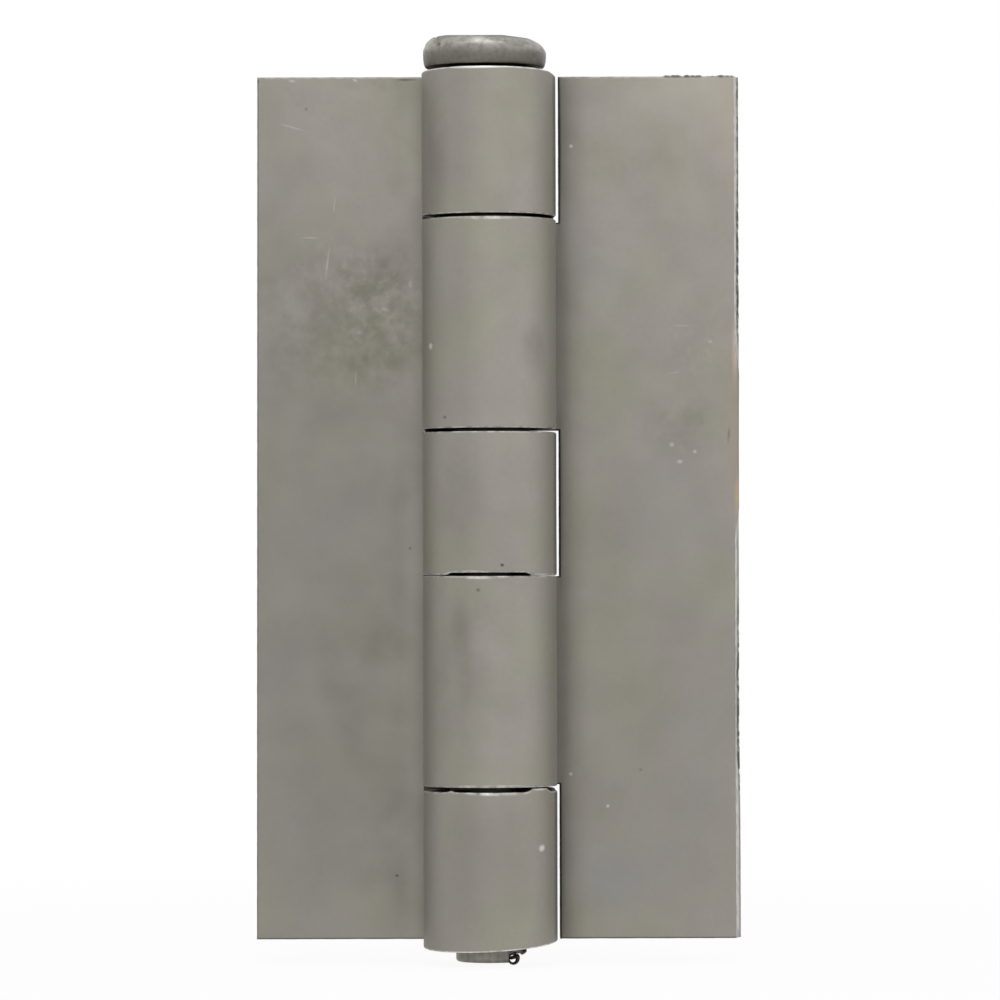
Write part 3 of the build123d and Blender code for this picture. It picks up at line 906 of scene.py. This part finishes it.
class HINGE_OT_door_leaf(bpy.types.Operator):
    """Roll the door leaf, with its two knuckles and its sheared edge, from its blank"""

    bl_idname = "hinge.door_leaf"
    bl_label = "Door leaf"

    def execute(self, context):
        sizes = context.scene.hinge_leaves
        colours = context.scene.hinge_colours
        stack = knuckle_stack(sizes)
        marks = (
            # Groups of like marks, from the wide stains and painted shade to the specks and painted
            # highlights
            (colours.slate, "no", (650, 660, 210, 520, 0.2)),
            # Painted shade beside the barrel and along the notch edges
            (colours.grime, "no", (558, 508, 17, 3000, 0.24), (558, 508, 34, 3000, 0.22),
             (560.3, 147, 3.2, 115, 0.6), (560.5, 502, 4.5, 115, 0.33), (561, 865, 4.5, 120, 0.28)),
            (colours.haze, "no", (700, 105, 100, 80, 0.14)),
            (colours.pink, "soft", (735, 350, 4, 45, 0.35)),
            (colours.olive, "fine", (685, 425, 60, 45, 0.24)),
            (colours.olive, "soft", (680, 140, 60, 60, 0.15)),
            (colours.blue_grey, "soft", (610, 880, 50, 45, 0.3), (600, 280, 35, 40, 0.25)),
            (colours.sand, "soft", (732, 130, 22, 110, 0.15)),
            (colours.umber, "soft", (735, 430, 14, 110, 0.3)),
            (colours.rust, "soft", (740, 500, 7, 34, 0.9)),
            (colours.grime, "soft", (729, 436, 2, 12, 0.4, 5)),
            (colours.olive, "soft", (535, 350, 24, 36, 0.3), (462, 650, 16, 75, 0.3, -4)),
            (colours.slate, "soft", (440, 690, 26, 160, 0.2), (470, 680, 70, 150, 0.14)),
            (colours.bright, "soft", (672, 445, 3.5, 3, 0.2), (680, 462, 4, 3, 0.2),
             (695, 452, 3, 3, 0.18), (711, 342, 3, 2.5, 0.16)),
            (colours.dusty, "grit", (700, 345, 45, 55, 0.16)),
            (colours.bright, "soft", (675, 373, 9, 1.3, 0.09, -8), (683, 326, 12, 1.3, 0.08),
             (572, 146, 2.5, 2.5, 0.35), (570, 774, 2.5, 2.5, 0.35), (607, 806, 2.5, 2.5, 0.3),
             (431, 346, 2.5, 4.5, 0.5)),
            # Painted highlights on the knuckle rims beside the gaps
            (colours.bright, "fine", (482, 577.5, 28, 2.2, 0.8), (490, 217, 36, 2.4, 0.65),
             (490, 786.5, 60, 2, 0.45)),
            (colours.grime, "soft", (640, 770, 2.5, 2.5, 0.4), (445, 417, 2.5, 2.5, 0.7),
             (478, 590, 3, 2.5, 0.5)),
        )
        add_leaf(
            context.scene, "door_leaf", "door_side", marks,
            turn=-1, reach=DOOR_HIGH.x - PIN_X, notch_reach=sizes.door_notch_reach,
            tabs=[stack[1], stack[3]], outer_inset=sizes.sheared_width, sheared=True,
            burr=sizes.burr_height)
        return {"FINISHED"}


class HINGE_OT_pin(bpy.types.Operator):
    """Turn the pin with its upset head, and add the torn metal at its cropped end"""

    bl_idname = "hinge.pin"
    bl_label = "Pin"

    def execute(self, context):
        sizes = context.scene.hinge_pin
        colours = context.scene.hinge_colours
        dullness, mottle = 0.45, 0.16
        steel = bare_steel(
            "drawn_steel_pin", colours.pin_grey, colours.pin_grey, colours, None, [], dullness, mottle)
        add_piece("headed_pin", turned_pin(sizes), steel, "frame_side", "pin_steel", "hinge_pin")
        add_piece("cropping_chip", curled_chip(sizes), steel, "frame_side", "pin_steel")
        add_piece("cropping_flake", torn_flake(sizes), steel, "frame_side", "pin_steel")
        return {"FINISHED"}


class HINGE_OT_stage(bpy.types.Operator):
    """Set the white floor, the soft lamps and the camera at the photograph's viewing angle"""

    bl_idname = "hinge.stage"
    bl_label = "Studio"

    def execute(self, context):
        scene = context.scene
        scene.view_settings.view_transform = "Standard"
        self.add_floor(scene)
        self.add_world(scene)
        middle = Vector((PIN_X, PIN_Y, 0))
        lamps = (
            # name, offset from the hinge's middle in metres, diameter and power in watts
            ("front_softbox", (0.05, -1.1, 0.25), 1.3, 4.2),
            ("right_softbox", (1.0, -0.55, 0.35), 1.0, 2.5),
            ("left_softbox", (-1.1, -0.35, 0.15), 0.9, 0.6),
            ("top_softbox", (0.0, -0.3, 1.2), 1.0, 3.0),
        )
        for name, offset, size, power in lamps:
            self.add_lamp(scene, name, middle + Vector(offset), middle, size, power)
        self.add_camera(scene)
        return {"FINISHED"}

    def add_floor(self, scene):
        half = 4.0
        z = PIN_LOW.z - 0.05 * MM
        mesh = bpy.data.meshes.new("floor")
        corners = [(-half, -half, z), (half, -half, z), (half, half, z), (-half, half, z)]
        mesh.from_pydata(corners, [], [(0, 1, 2, 3)])
        mesh.materials.append(white_paper("white_paper"))
        floor = bpy.data.objects.new("floor", mesh)
        scene.collection.objects.link(floor)

    def add_world(self, scene):
        world = bpy.data.worlds.new("white_studio")
        tree = empty_tree(world)
        path = add_node(tree, "LightPath")
        seen = path.outputs["Is Camera Ray"]
        for ray in ("Is Glossy Ray", "Is Transmission Ray"):
            seen = calculate(tree, "MAXIMUM", seen, path.outputs[ray])
        strength = add_node(tree, "MapRange", {"Value": seen, "To Min": 0.6, "To Max": 1.0})
        background = add_node(tree, "Background", {"Color": (1, 1, 1, 1), "Strength": strength})
        add_node(tree, "OutputWorld", {"Surface": background})
        scene.world = world

    def add_lamp(self, scene, name, place, target, size, power):
        light = bpy.data.lights.new(name, "AREA")
        light.shape = "DISK"
        light.size = size
        light.energy = power
        lamp = bpy.data.objects.new(name, light)
        lamp.location = place
        lamp.rotation_euler = (target - place).to_track_quat("-Z", "Y").to_euler()
        scene.collection.objects.link(lamp)

    def add_camera(self, scene):
        data = bpy.data.cameras.new("photo_camera")
        data.lens = LENS
        data.sensor_width = SENSOR
        data.clip_start = 0.01
        camera = bpy.data.objects.new("photo_camera", data)
        place = Vector((PIN_X, PIN_Y - CAMERA_DISTANCE, CAMERA_HEIGHT))
        target = Vector((PIN_X + AIM_X, PIN_Y, AIM_Z))
        facing = (target - place).to_track_quat("-Z", "Y").to_matrix()
        camera.matrix_world = facing.to_4x4() @ Matrix.Rotation(ROLL, 4, "Z")
        camera.location = place
        scene.collection.objects.link(camera)
        scene.camera = camera


class HINGE_PT_sidebar(bpy.types.Panel):
    """Lists the hinge's pieces, sizes and colours in the 3D view's sidebar"""

    bl_idname = "HINGE_PT_sidebar"
    bl_label = "Flat butt hinge"
    bl_space_type = "VIEW_3D"
    bl_region_type = "UI"
    bl_category = "Hinge"

    def draw(self, context):
        for operator in OPERATORS:
            self.layout.operator(operator.bl_idname)
        for pointer in GROUPS:
            group = getattr(context.scene, pointer)
            box = self.layout.box()
            for name in group.__annotations__:
                box.prop(group, name)


GROUPS = {"hinge_leaves": HingeLeafSizes, "hinge_pin": HingePinSizes, "hinge_colours": HingeColours}
OPERATORS = (HINGE_OT_frame_leaf, HINGE_OT_door_leaf, HINGE_OT_pin, HINGE_OT_stage)
CLASSES = (*GROUPS.values(), *OPERATORS, HINGE_PT_sidebar)


def register():
    for cls in CLASSES:
        bpy.utils.register_class(cls)
    for pointer, group in GROUPS.items():
        setattr(bpy.types.Scene, pointer, bpy.props.PointerProperty(type=group))


def unregister():
    for pointer in GROUPS:
        delattr(bpy.types.Scene, pointer)
    for cls in reversed(CLASSES):
        bpy.utils.unregister_class(cls)


def main():
    register()
    bpy.ops.hinge.frame_leaf()
    bpy.ops.hinge.door_leaf()
    bpy.ops.hinge.pin()
    bpy.ops.hinge.stage()


if __name__ == "__main__":
    main()
